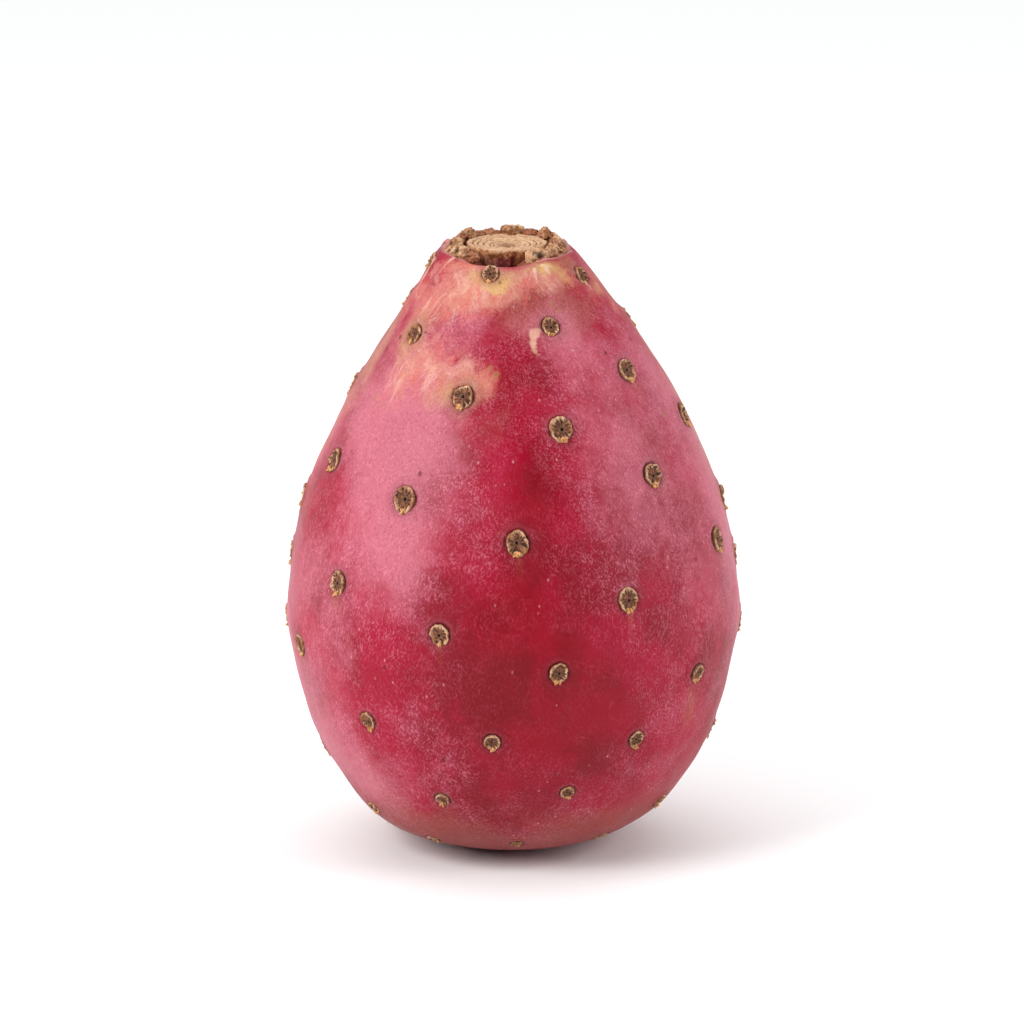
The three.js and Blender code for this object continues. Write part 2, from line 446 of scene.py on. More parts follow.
def surface(tree, inputs):
    """Ends a material with its shader."""
    shader = add_node(tree, "BsdfPrincipled", inputs)
    add_node(tree, "OutputMaterial", {"Surface": shader.outputs[0]})


def maths(tree, operation, first, second=0.0, third=0.0):
    return add_node(tree, "Math", {0: first, 1: second, 2: third}, operation=operation).outputs[0]


def stored(tree, name, output="Fac"):
    """An attribute of the mesh."""
    return add_node(tree, "Attribute", attribute_name=name).outputs[output]


def times(tree, first, second):
    return maths(tree, "MULTIPLY", first, second)


def swing(tree, field, reach):
    """Noise moved to lie evenly about nought, with a reach from end to end."""
    return times(tree, maths(tree, "SUBTRACT", field, 0.5), reach)


def ramp(tree, value, start, end, bottom=0.0, top=1.0):
    """A soft step from bottom to top as value goes from start to end."""
    inputs = {0: value, 1: start, 2: end, 3: bottom, 4: top}
    return add_node(tree, "MapRange", inputs, interpolation_type="SMOOTHSTEP").outputs[0]


def mixed(tree, share, first, second, blend_type="MIX"):
    """Two colours mixed by a share."""
    inputs = {0: share, 6: first, 7: second}
    return add_node(tree, "Mix", inputs, data_type="RGBA", blend_type=blend_type).outputs[2]


def grain(tree, place, scale, detail=2.0, roughness=0.5, distortion=0.0):
    """Noise from 0 to 1, with scale waves to the metre."""
    inputs = {"Vector": place, "Scale": scale, "Detail": detail, "Roughness": roughness}
    inputs["Distortion"] = distortion
    return add_node(tree, "TexNoise", inputs).outputs[0]


def stretched(tree, place, scale, offset=(0, 0, 0)):
    return add_node(tree, "Mapping", {"Vector": place, "Scale": scale, "Location": offset}).outputs[0]


def new_group(name, inputs, outputs):
    """A shader node group that takes a place and some numbers, and puts out numbers."""
    group = bpy.data.node_groups.new(name, "ShaderNodeTree")
    group.interface.new_socket("Place", in_out="INPUT", socket_type="NodeSocketVector")
    for socket in inputs:
        group.interface.new_socket(socket, in_out="INPUT", socket_type="NodeSocketFloat")
    for socket in outputs:
        group.interface.new_socket(socket, in_out="OUTPUT", socket_type="NodeSocketFloat")
    return group, group.nodes.new("NodeGroupInput").outputs, group.nodes.new("NodeGroupOutput").inputs


# Where a place lies round the middle of an areole or of the stump.
round_middle, given, result = new_group("round_a_middle", (), ("Distance", "Angle"))
x, y, _ = add_node(round_middle, "SeparateXYZ", {0: given["Place"]}).outputs
squares = [maths(round_middle, "POWER", way, 2) for way in (x, y)]
squares = maths(round_middle, "ADD", *squares)
round_middle.links.new(maths(round_middle, "SQRT", squares), result["Distance"])
round_middle.links.new(maths(round_middle, "ARCTAN2", y, x), result["Angle"])

DEEP_CRIMSON = (0.22, 0.0004, 0.011, 1)
BRIGHT_CRIMSON = (0.32, 0.0006, 0.024, 1)
ROSE_CRIMSON = (0.38, 0.006, 0.044, 1)
PURPLE_HAZE = (0.36, 0.055, 0.10, 1)
DARK_MOTTLE = (0.165, 0.001, 0.014, 1)
RUSSET_BROWN = (0.28, 0.06, 0.045, 1)
BLOOM_HIGHLIGHT_PINK = (0.60, 0.19, 0.25, 1)
SALMON = (0.53, 0.19, 0.135, 1)
CREAM_WHITE = (0.66, 0.41, 0.28, 1)
ROSE_VEIN = (0.55, 0.12, 0.085, 1)
PALE_VEIN = (0.76, 0.47, 0.36, 1)
OLIVE_TAN = (0.44, 0.27, 0.12, 1)
YELLOW_GREEN = (0.58, 0.37, 0.12, 1)
SCAR_TAN = (0.68, 0.42, 0.28, 1)
HALO_DUSK = (0.17, 0.03, 0.04, 1)
LIP_HIGHLIGHT_PINK = (0.72, 0.36, 0.38, 1)
SOCKET_SHADOW_RED = (0.10, 0.012, 0.012, 1)
STREAK_YELLOW = (0.58, 0.32, 0.15, 1)
STROKE_SHADE = (0.80, 0.42, 0.50, 1)
STROKE_PINK = (0.76, 0.25, 0.32, 1)
BARE_SHADE = (0.82, 0.34, 0.46, 1)
FLECK_PINK = (0.80, 0.45, 0.45, 1)
PIT_RED = (0.12, 0.006, 0.008, 1)
SCAB_BROWN = (0.34, 0.15, 0.06, 1)
SCAB_CORE = (0.13, 0.055, 0.025, 1)
PALE_EDGE = (0.74, 0.50, 0.38, 1)
TORN_BROWN = (0.25, 0.09, 0.045, 1)
CREST_PINK = (0.78, 0.55, 0.46, 1)
SHEEN_PINK = (1, 0.88, 0.9, 1)

rind = new_material("waxy_rind")
tree = rind.node_tree
here = add_node(tree, "TexCoord").outputs["Object"]
tint_rgb = add_node(tree, "SeparateColor", {0: stored(tree, "tints", "Color")})
cream_tint, olive_tint, bloom_and_light_tint = tint_rgb.outputs
russet_tint = stored(tree, "tints", "Alpha")
beside = stored(tree, "beside_areole", "Vector")
across_mm, up_mm, own_luck = add_node(tree, "SeparateXYZ", {0: beside}).outputs
ring, around_angle = add_node(tree, "Group", {"Place": beside}, node_tree=round_middle).outputs

# Flesh colour: deep crimson mottled with brighter and rosier areas.
slow = grain(tree, here, 85, 3, 0.55)
medium = grain(tree, stretched(tree, here, (1, 1, 0.55)), 270, 4, 0.6)
fine = grain(tree, here, 900, 3, 0.6)
crimson = mixed(tree, ramp(tree, slow, 0.38, 0.62), DEEP_CRIMSON, BRIGHT_CRIMSON)
crimson = mixed(tree, ramp(tree, medium, 0.5, 0.75, 0, 0.5), crimson, ROSE_CRIMSON)
# The haze follows the bloom patches too, so it partly carries their painted highlight.
haze = maths(tree, "MULTIPLY_ADD", bloom_and_light_tint, 0.2, grain(tree, here, 190, 4, 0.65))
crimson = mixed(tree, ramp(tree, haze, 0.48, 0.75, 0, 0.5), crimson, PURPLE_HAZE)
crimson = mixed(tree, ramp(tree, medium, 0.45, 0.2, 0, 0.4), crimson, DARK_MOTTLE)
edge = maths(tree, "ADD", swing(tree, medium, 0.9), swing(tree, fine, 0.5))


def ragged(tint):
    """A patch strength with a ragged edge, and nothing where the patch has no strength."""
    return maths(tree, "MULTIPLY_ADD", edge, ramp(tree, tint, 0.02, 0.3), tint)


russet = ramp(tree, ragged(russet_tint), 0.15, 0.95, 0, 0.75)
colour = mixed(tree, russet, crimson, RUSSET_BROWN)
# Painted highlight and reflection: the bloom patches turn the crimson pink where the lights would shine.
bloom_and_highlight = ramp(tree, ragged(bloom_and_light_tint), 0.1, 1.05, 0, 0.56)
colour = mixed(tree, bloom_and_highlight, colour, BLOOM_HIGHLIGHT_PINK)
cream_edge = ragged(cream_tint)
colour = mixed(tree, ramp(tree, cream_edge, 0.15, 0.7, 0, 0.85), colour, SALMON)
colour = mixed(tree, ramp(tree, cream_edge, 0.65, 1.3, 0, 0.85), colour, CREAM_WHITE)
marbling = grain(tree, stretched(tree, here, (1, 1, 0.4)), 430, 4, 0.7, 1.0)
near_cream = ramp(tree, cream_tint, 0.1, 0.5)
rose_veins = times(tree, ramp(tree, marbling, 0.50, 0.62), near_cream)
colour = mixed(tree, times(tree, rose_veins, 0.6), colour, ROSE_VEIN)
pale_veins = times(tree, ramp(tree, marbling, 0.50, 0.32), near_cream)
colour = mixed(tree, times(tree, pale_veins, 0.4), colour, PALE_VEIN)
olive = ramp(tree, ragged(olive_tint), 0.25, 1.1, 0, 0.66)
colour = mixed(tree, olive, colour, OLIVE_TAN)
green_tint = stored(tree, "green")
green = ramp(tree, ragged(green_tint), 0.25, 1.0, 0, 0.75)
colour = mixed(tree, green, colour, YELLOW_GREEN)
scar_tint = stored(tree, "scar")
scar = ramp(tree, maths(tree, "MULTIPLY_ADD", edge, 2.4, scar_tint), 0.45, 1.05, 0, 0.75)
colour = mixed(tree, scar, colour, SCAR_TAN)

# Round each areole: a dusky halo, a dark socket line that is painted shadow under the pad's edge, a
# pale lip above that is a painted highlight on the raised skin, and a yellow streak below.
wavy_ring = maths(tree, "ADD", ring, swing(tree, fine, 0.35))
halo = times(tree, ramp(tree, wavy_ring, 3.6, 1.7), ramp(tree, medium, 0.25, 0.7, 0.1, 0.45))
colour = mixed(tree, halo, colour, HALO_DUSK)
from_above = ramp(tree, maths(tree, "DIVIDE", up_mm, maths(tree, "ADD", ring, 0.01)), -0.3, 0.7)
# Painted highlight: the raised lip is paler on its stem side only, where the light catches it.
lip = times(tree, ramp(tree, wavy_ring, 1.8, 2.05), ramp(tree, wavy_ring, 2.6, 2.15))
lip = times(tree, lip, times(tree, from_above, 0.06))
colour = mixed(tree, lip, colour, LIP_HIGHLIGHT_PINK)
# Painted shadow: a dark line where the pad meets its seat in the skin.
socket = ramp(tree, wavy_ring, 1.88, 1.62, 0, 0.8)
colour = mixed(tree, socket, colour, SOCKET_SHADOW_RED)
slant = swing(tree, own_luck, 0.35)
off_line = maths(tree, "ABSOLUTE", maths(tree, "MULTIPLY_ADD", up_mm, slant, across_mm))
off_line = maths(tree, "ADD", off_line, swing(tree, fine, 0.8))
streak = ramp(tree, off_line, 0.8, 0)
for limit in (
    (up_mm, -6.5, -2), (up_mm, -1.3, -1.9), (own_luck, 0.3, 0.9, 0, 0.2), (fine, 0.35, 0.65, 0.25, 1),
):
    streak = times(tree, streak, ramp(tree, *limit))
colour = mixed(tree, streak, colour, STREAK_YELLOW)

# Hair-fine pale strokes in the wax that lie this way and that, with small pale flecks and dark dots.
drift = grain(tree, here, 230, 2)
fibres = dark_strokes = 0.0
for scale, turn, length, sparse in (
    (5300, (0.5, 0.5, 0.3), 3.2, 0.38),
    (4700, (-0.6, -0.4, 1.1), 3.0, 0.42),
    (5900, (0.1, 0.05, 2.2), 3.6, 0.38),
):
    lie = {"Vector": here, "Rotation": turn, "Scale": (1, 1, length)}
    lie = add_node(tree, "Mapping", lie, vector_type="TEXTURE").outputs[0]
    field = grain(tree, lie, scale, 1, 0.5, 0.5)
    clumps = grain(tree, stretched(tree, here, (1, 1, 1), turn), 480, 1)
    patchy = ramp(tree, clumps, sparse - 0.04, sparse + 0.1)
    pale_set = times(tree, ramp(tree, field, 0.55, 0.72), patchy)
    dark_set = times(tree, ramp(tree, field, 0.42, 0.28), patchy)
    fibres = maths(tree, "MAXIMUM", pale_set, fibres)
    dark_strokes = maths(tree, "MAXIMUM", dark_set, dark_strokes)
colour = mixed(tree, times(tree, dark_strokes, 0.6), colour, STROKE_SHADE, "MULTIPLY")
wax = maths(tree, "ADD", ramp(tree, haze, 0.3, 0.7, 0.03, 0.33), ramp(tree, drift, 0.3, 0.7, 0, 0.12))
colour = mixed(tree, times(tree, fibres, wax), colour, STROKE_PINK)
# Painted shade: where the bloom patches are negative, down the front, the colour is darkened.
bare_painted_shade = ramp(tree, bloom_and_light_tint, 0.05, -0.8)
colour = mixed(tree, bare_painted_shade, colour, BARE_SHADE, "MULTIPLY")
fleck_cells = add_node(tree, "TexVoronoi", {"Vector": stretched(tree, here, (1, 1, 0.6)), "Scale": 950})
fleck_pick = add_node(tree, "SeparateColor", {0: fleck_cells.outputs["Color"]})
flecks = ramp(tree, fleck_cells.outputs["Distance"], 0.16, 0.06)
flecks = times(tree, flecks, ramp(tree, fleck_pick.outputs[0], 0.8, 0.9))
colour = mixed(tree, times(tree, flecks, 0.4), colour, FLECK_PINK)
dot_place = stretched(tree, here, (1, 1, 0.8), (0.5, 0.2, 0.1))
dot_cells = add_node(tree, "TexVoronoi", {"Vector": dot_place, "Scale": 210})
dot_pick = add_node(tree, "SeparateColor", {0: dot_cells.outputs["Color"]})
dots = ramp(tree, dot_cells.outputs["Distance"], 0.085, 0.035)
dots = times(tree, dots, ramp(tree, dot_pick.outputs[1], 0.5, 0.6))
colour = mixed(tree, times(tree, dots, 0.75), colour, PIT_RED)

scab = stored(tree, "scabs")
scab = maths(tree, "ADD", scab, swing(tree, fine, 0.9))
colour = mixed(tree, ramp(tree, scab, 0.25, 0.7, 0, 0.6), colour, SCAB_BROWN)
colour = mixed(tree, ramp(tree, scab, 0.6, 1.0, 0, 0.8), colour, SCAB_CORE)

# The torn edge of the skin round the stump is dry and brown, with a thin pale rim, and the folds below
# it have pale crests.
from_stem = stored(tree, "from_stem")
torn = maths(tree, "ADD", from_stem, swing(tree, medium, 1.6))
torn = maths(tree, "ADD", torn, swing(tree, fine, 0.9))
pale_rim = times(tree, ramp(tree, torn, 7.1, 7.5), ramp(tree, torn, 8.4, 7.8))
colour = mixed(tree, times(tree, pale_rim, 0.4), colour, PALE_EDGE)
colour = mixed(tree, ramp(tree, torn, 7.5, 7.0, 0, 0.9), colour, TORN_BROWN)
crest = stored(tree, "crest")
crest = maths(tree, "ADD", crest, swing(tree, fine, 0.6))
crest = ramp(tree, crest, 0.45, 0.9, 0, 0.5)
colour = mixed(tree, crest, colour, CREST_PINK)

# Relief too fine for the mesh, as heights in tenths of a mm.
spokes_place = {0: times(tree, around_angle, 3.2), 1: times(tree, ring, 0.25), 2: own_luck}
spokes_place = add_node(tree, "CombineXYZ", spokes_place).outputs[0]
spokes = grain(tree, spokes_place, 1.6, 2)
spokes = times(tree, spokes, ramp(tree, ring, 5.2, 1.8, 0, 0.9))
relief = spokes
for field, height in (
    (medium, 0.5), (fine, 0.3), (fibres, 0.22), (dark_strokes, -0.16), (flecks, 0.25),
    (grain(tree, here, 2600, 2), 0.12),
):
    relief = maths(tree, "MULTIPLY_ADD", field, height, relief)
bump = add_node(tree, "Bump", {"Height": relief, "Distance": 0.1 * MM, "Strength": 1.0}).outputs[0]
gloss = ramp(tree, medium, 0.3, 0.7, 0.40, 0.50)
gloss = maths(tree, "MULTIPLY_ADD", fibres, 0.08, gloss)
surface(tree, {
    "Base Color": colour, "Roughness": gloss, "Normal": bump, "IOR": 1.45,
    "Specular IOR Level": 0.2, "Sheen Weight": 0.03, "Sheen Roughness": 0.3, "Sheen Tint": SHEEN_PINK,
})

skin_piece = finished("fruit_rind", skin, rind)
plain = np.array(plain)
tint_values = [patch_strengths(plain, patches) for patches in (CREAM, OLIVE, BLOOM_AND_PAINTED_LIGHT, RUSSET)]
tints = skin_piece.data.attributes.new("tints", "FLOAT_COLOR", "POINT")
tints.data.foreach_set("color", np.stack(tint_values, axis=1).ravel())

FAR_FROM_STEM = 99
stem_distance = np.hypot(plain[:, 0], plain[:, 1]) / MM
for name, values in (
    ("scabs", patch_strengths(plain, SCABS)),
    ("green", patch_strengths(plain, GREEN)),
    ("scar", patch_strengths(plain, SCAR)),
    ("from_stem", np.where(plain[:, 2] > body_height / 2, stem_distance, FAR_FROM_STEM)),
    ("crest", [crest_at(Vector(point)) for point in plain]),
):
    skin_piece.data.attributes.new(name, "FLOAT", "POINT").data.foreach_set("value", values)

# Where each corner of the skin lies beside its nearest areole, in mm across and up from the pad's
# middle, with the areole's own lucky number third.
lucky = random.Random(11)
luck = np.array([lucky.random() for _ in areoles])
corner_point = np.zeros(len(skin_piece.data.loops), int)
skin_piece.data.loops.foreach_get("vertex_index", corner_point)
corner_areole = np.repeat(areole_of_face, [face.loop_total for face in skin_piece.data.polygons])
spot, across, up, size = (
    np.array([areole[part] for areole in areoles])[corner_areole] for part in ("spot", "across", "up", "size")
)
away = plain[corner_point] - spot
size_mm = MM * size
places = [(away * across).sum(axis=1) / size_mm, (away * up).sum(axis=1) / size_mm, luck[corner_areole]]
beside = skin_piece.data.attributes.new("beside_areole", "FLOAT_VECTOR", "CORNER")
beside.data.foreach_set("vector", np.stack(places, axis=1).ravel())
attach(skin_piece, "root")
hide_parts("fruit")

# The areole pads
# Each areole ends in a dry, corky pad a few mm across: a rolled, cracked rim of pale cork, a sunken
# brown felt with a pin-prick in its middle, and a crumbly orange tuft of spine stubs at its foot.
PAD_PROFILE = [
    (0, -0.06), (0.09, -0.04), (0.14, 0.12), (0.24, 0.19), (0.4, 0.2), (0.56, 0.2), (0.72, 0.2),
    (0.88, 0.2), (1.04, 0.19), (1.18, 0.19), (1.25, 0.27), (1.31, 0.38), (1.39, 0.43), (1.48, 0.4),
    (1.54, 0.29), (1.58, 0.12), (1.56, -0.05), (1.4, -0.4), (0, -0.6),
]
PAD_STEPS = 40
FELT_EDGE = 1.22
TUFT_STUBS = 6


def cork_pad(seed, size):
    """One pad in mm about its own middle, facing +Z, with the stem towards +Y."""
    own = random.Random(seed)
    pad = lathe([(r, 0, h) for r, h in PAD_PROFILE], PAD_STEPS, 0.005)
    place = pad.verts.layers.float_vector.new("pad_place")
    narrow, long = own.uniform(0.88, 1.0), own.uniform(0.98, 1.1)
    cracks = [own.uniform(0, math.tau) for _ in range(5)]
    pit = Vector((own.uniform(-0.15, 0.15), own.uniform(-0.22, 0.1), 0))
    for vert in pad.verts:
        r, turn = math.hypot(vert.co.x, vert.co.y), math.atan2(vert.co.y, vert.co.x)
        rough = Vector((math.cos(turn), math.sin(turn), seed * 7.3))
        foot = math.exp(-(((turn + math.pi / 2) / 0.5) ** 2))
        in_rim = smooth(r, FELT_EDGE - 0.1, FELT_EDGE + 0.15)
        above = smooth(vert.co.z, -0.1, 0.1)
        grown = 1 + 0.12 * noise.noise(rough * 1.1) + 0.11 * noise.noise(rough * 3.5) * in_rim
        grown += 0.13 * foot * in_rim
        lift = in_rim * above * (0.3 * noise.noise(rough * 3.1 + Vector((0, 0, r))) - 0.16 * foot)
        lift += (1 - in_rim) * 0.09 * noise.noise(Vector((turn * 3.4, r * 1.7, seed)))
        for crack in cracks:
            off = abs((turn - crack + math.pi) % math.tau - math.pi)
            lift -= 0.15 * in_rim * above * math.exp(-((off / 0.09) ** 2))
        vert[place] = (vert.co.x, vert.co.y, seed)
        vert.co.x *= grown * narrow
        vert.co.y *= grown * long
        vert.co.z += lift
        vert.co += pit * (1 - smooth(r, 0.15, 0.8))
    tufts = [own.uniform(-0.42, 0.42) for _ in range(TUFT_STUBS)]
    for number, sideways in enumerate(tufts):
        stub = bmesh.ops.create_icosphere(pad, subdivisions=2, radius=0.2)["verts"]
        reach = own.uniform(1.2, 2.3)
        lean = Matrix.Rotation(own.uniform(0.6, 1.5), 3, "X") @ Matrix.Rotation(sideways, 3, "Y")
        root = Vector((sideways * 1.1, -1.5 * long + own.uniform(-0.15, 0.3), own.uniform(0.1, 0.5)))
        for vert in stub:
            crumb = 1 + 0.5 * noise.noise(vert.co * 9 + Vector((number, seed, 0)))
            grown = Vector((vert.co.x, vert.co.y * 0.8, vert.co.z * reach)) * crumb
            vert.co = root + lean @ grown
            vert[place] = (0, -3, seed)
    bmesh.ops.scale(pad, vec=(size * MM,) * 3, verts=pad.verts)
    return pad


def join(whole, part):
    """Adds one shape to another, and frees it."""
    carrier = bpy.data.meshes.new("carrier")
    part.to_mesh(carrier)
    part.free()
    whole.from_mesh(carrier)
    bpy.data.meshes.remove(carrier)


pads = bmesh.new()
for seed, areole in enumerate(areoles):
    spread = random.Random(seed + 40)
    pad = cork_pad(seed, areole["size"] * spread.uniform(0.93, 1.07))
    lift = body_relief(areole["spot"])
    seat = areole["spot"] + Vector((areole["out"].x, areole["out"].y, 0)).normalized() * lift
    seat += areole["out"] * (fine_relief(areole["spot"]) - 0.1 * MM)
    tilt = Matrix.Rotation(math.radians(spread.uniform(1, 9)), 3, "X")
    turned = Matrix.Rotation(math.radians(spread.uniform(-14, 14)), 3, "Z")
    axes = Matrix((areole["across"], areole["up"], areole["out"])).transposed()
    bmesh.ops.transform(pad, matrix=(axes @ tilt @ turned).to_4x4(), verts=pad.verts)
    bmesh.ops.translate(pad, vec=seat, verts=pad.verts)
    join(pads, pad)

# The fine crumbs and the broader blotches of dry cork and wood, as waves to the metre.
dry_grain, given, result = new_group("dry_grain", ("Crumb Scale", "Blotch Scale"), ("Crumbs", "Blotches"))
crumb_noise = grain(dry_grain, given["Place"], given["Crumb Scale"], 3, 0.65)
blotch_noise = grain(dry_grain, given["Place"], given["Blotch Scale"], 3, 0.6)
dry_grain.links.new(crumb_noise, result["Crumbs"])
dry_grain.links.new(blotch_noise, result["Blotches"])

FELT_DARK = (0.026, 0.009, 0.005, 1)
FELT_BROWN = (0.21, 0.072, 0.035, 1)
FELT_TAN = (0.42, 0.19, 0.095, 1)
PIT_WALL = (0.15, 0.06, 0.032, 1)
PIT_SHADE_BLACK = (0.006, 0.004, 0.003, 1)
RIM_ORANGE = (0.34, 0.14, 0.055, 1)
RIM_CREAM = (0.66, 0.40, 0.24, 1)
RIM_CREVICE = (0.16, 0.07, 0.03, 1)
RIM_SIDE_SHADE = (0.13, 0.05, 0.022, 1)
TUFT_ORANGE = (0.36, 0.13, 0.035, 1)
TUFT_CREAM = (0.68, 0.36, 0.15, 1)

cork = new_material("areole_cork")
tree = cork.node_tree
here = add_node(tree, "TexCoord").outputs["Object"]
place = stored(tree, "pad_place", "Vector")
_, y_mm, pad_seed = add_node(tree, "SeparateXYZ", {0: place}).outputs
ring, pad_angle = add_node(tree, "Group", {"Place": place}, node_tree=round_middle).outputs
grains = {"Place": here, "Crumb Scale": 3200, "Blotch Scale": 900}
crumbs, blotches = add_node(tree, "Group", grains, node_tree=dry_grain).outputs
spoke_place = {0: times(tree, pad_angle, 2.6), 1: times(tree, ring, 0.7), 2: pad_seed}
spoke_place = add_node(tree, "CombineXYZ", spoke_place).outputs[0]
spokes = grain(tree, spoke_place, 1.5, 3, 0.6)
ragged_ring = maths(tree, "ADD", ring, swing(tree, spokes, 2.0))
outer_side_shade = ramp(tree, ring, 1.5, 1.58)
felt = mixed(tree, ramp(tree, spokes, 0.38, 0.62), FELT_DARK, FELT_BROWN)
felt = mixed(tree, ramp(tree, crumbs, 0.5, 0.75, 0, 0.55), felt, FELT_TAN)
felt = mixed(tree, ramp(tree, ring, 0.46, 0.34), felt, PIT_WALL)
# Painted shade: the pin-prick in the middle is coloured near black.
felt = mixed(tree, ramp(tree, ring, 0.27, 0.17), felt, PIT_SHADE_BLACK)
rim = mixed(tree, ramp(tree, blotches, 0.4, 0.6), RIM_ORANGE, RIM_CREAM)
rim = mixed(tree, ramp(tree, crumbs, 0.3, 0.65, 0.5, 0), rim, RIM_CREVICE)
colour = mixed(tree, ramp(tree, ragged_ring, 1.05, 1.32), felt, rim)
# Painted shade: the rim's outer side and underside are darkened.
colour = mixed(tree, times(tree, outer_side_shade, 0.7), colour, RIM_SIDE_SHADE)
tuft = mixed(tree, ramp(tree, crumbs, 0.35, 0.6), TUFT_ORANGE, TUFT_CREAM)
colour = mixed(tree, ramp(tree, y_mm, -2.0, -2.5), colour, tuft)
relief = maths(tree, "MULTIPLY_ADD", spokes, 0.5, times(tree, crumbs, 0.5))
bump = add_node(tree, "Bump", {"Height": relief, "Distance": 0.08 * MM}).outputs[0]
surface(tree, {"Base Color": colour, "Roughness": 0.8, "Normal": bump, "Specular IOR Level": 0.3})

pad_piece = finished("areole_pads", pads, cork)
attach(pad_piece, "root")

# The stump
# The cut stem is a short, dry, woody stub in the middle of the top: pale wood with growth rings and a
# cracked pith whose crack is painted dark as shade, and a dark, wrinkled, red-brown side that shows at
# the front, with painted shade deepening it further down.
STUMP_TOP = body_height - 0.05 * MM
STUMP_DEPTH = 2.6 * MM
STUMP_OFFSET = Vector((0.1 * MM, 0.1 * MM, 0))
STUMP_STEPS = 150

# Growth rings as grooves in the cut face: radius in mm, and how far each sways.
RINGS = [(0.95, 0.25), (1.6, 0.3), (2.25, 0.25), (2.95, 0.3), (3.65, 0.22), (4.3, 0.18)]
GROOVE_WIDTH = 0.095


def groove_at(r, compass):
    """0 to 1, how deep a point of the cut face lies in a growth ring's groove."""
    deepest = 0
    for number, (middle, sway) in enumerate(RINGS):
        here = compass * 1.1 + Vector((0, 0, number * 2.3))
        wandering = middle + sway * noise.noise(here) + 0.05 * noise.noise(here * 5)
        strength = 0.85 + 0.7 * noise.noise(here * 1.7 + Vector((4, 0, 0)))
        groove = min(max(strength, 0), 1) * math.exp(-(((r - wandering) / GROOVE_WIDTH) ** 2))
        deepest = max(deepest, groove)
    return deepest


face_steps = 72
cut_face = [(STUMP_RADIUS * i / face_steps, 0.0) for i in range(face_steps)]
side = [(4.93, -0.03), (5.0, -0.16), (5.0, -0.34), (4.92, -0.55), (4.8, -0.8), (4.72, -1.1)]
side += [(4.66, -1.4), (4.6, -1.75), (4.5, -2.1), (4.3, -2.6)]
stump_profile = cut_face + [(r * MM, h * MM) for r, h in side] + [(0, -STUMP_DEPTH)]
stump = lathe([(r, 0, h) for r, h in stump_profile], STUMP_STEPS, 0.005 * MM)
spot_on_stump = stump.verts.layers.float_vector.new("stump_place")
groove_depth = stump.verts.layers.float.new("groove")
for vert in stump.verts:
    r, turn = math.hypot(vert.co.x, vert.co.y) / MM, math.atan2(vert.co.y, vert.co.x)
    compass = Vector((math.cos(turn), math.sin(turn), 0))
    depth = -vert.co.z / MM
    vert[spot_on_stump] = (vert.co.x / MM, vert.co.y / MM, depth)
    on_face = 1 - smooth(depth, 0, 0.1)
    vert[groove_depth] = on_face * groove_at(r, compass)
    bowl = -0.32 * (1 - smooth(r, 1.5, 4.6)) + 0.10 * smooth(r, 4.2, 4.9)
    crack = -0.45 * math.exp(-((r / 0.55) ** 2))
    crack -= 0.3 * math.exp(-(((vert.co.x / MM - 0.2) / 0.16) ** 2 + ((vert.co.y / MM) / 0.9) ** 2))
    lift = on_face * (bowl - 0.2 * vert[groove_depth] + crack + 0.10 * noise.noise(vert.co / (0.7 * MM)))
    lift += (1 - on_face) * 0.4 * noise.noise(compass * 3.2 + Vector((0, 0, depth)))
    folds_out = smooth(depth, 0.1, 0.9) * (0.6 * noise.noise(compass * 3.6 + Vector((0, 0, depth * 0.3))))
    folds_out += smooth(depth, 0.1, 0.6) * 0.32 * noise.noise(compass * 9 + Vector((3, 0, depth * 0.5)))
    edge_wobble = 0.22 * noise.noise(compass * 1.7) + 0.12 * noise.noise(compass * 5.5)
    edge_wobble *= smooth(r, 3.5, 5)
    vert.co += compass * (folds_out + edge_wobble) * MM
    vert.co.z += lift * MM
bmesh.ops.translate(stump, vec=STUMP_OFFSET + Vector((0, 0, STUMP_TOP)), verts=stump.verts)

WOOD_SHADE = (0.46, 0.27, 0.15, 1)
WOOD_PALE = (0.68, 0.47, 0.31, 1)
WOOD_LEFT = (0.42, 0.25, 0.15, 1)
GROOVE_BROWN = (0.17, 0.065, 0.03, 1)
WOOD_ORANGE = (0.50, 0.26, 0.11, 1)
PITH_BROWN = (0.19, 0.09, 0.035, 1)
PITH_HOLE_SHADE = (0.03, 0.018, 0.01, 1)
SIDE_CRIMSON = (0.12, 0.012, 0.014, 1)
SIDE_RED = (0.36, 0.08, 0.06, 1)
SIDE_BROWN = (0.27, 0.10, 0.035, 1)
SIDE_TAN = (0.58, 0.30, 0.18, 1)
SIDE_DRIP = (0.05, 0.012, 0.010, 1)
SIDE_DEEP_SHADE = (0.04, 0.008, 0.008, 1)
CRUST_BROWN = (0.22, 0.07, 0.025, 1)
CRUST_ORANGE = (0.60, 0.28, 0.12, 1)

wood = new_material("stump_wood")
tree = wood.node_tree
here = add_node(tree, "TexCoord").outputs["Object"]
place = stored(tree, "stump_place", "Vector")
x_mm, _, depth_mm = add_node(tree, "SeparateXYZ", {0: place}).outputs
ring = add_node(tree, "Group", {"Place": place}, node_tree=round_middle).outputs["Distance"]
groove = stored(tree, "groove")
patchy = grain(tree, place, 1.1, 3, 0.6)
grains = {"Place": here, "Crumb Scale": 2600}
fibres = add_node(tree, "Group", grains, node_tree=dry_grain).outputs["Crumbs"]
face_wood = mixed(tree, ramp(tree, fibres, 0.35, 0.7), WOOD_SHADE, WOOD_PALE)
face_wood = mixed(tree, ramp(tree, x_mm, 1, -4, 0, 0.3), face_wood, WOOD_LEFT)
face_wood = mixed(tree, ramp(tree, groove, 0.1, 0.8, 0, 0.9), face_wood, GROOVE_BROWN)
face_wood = mixed(tree, ramp(tree, patchy, 0.62, 0.4, 0, 0.35), face_wood, WOOD_ORANGE)
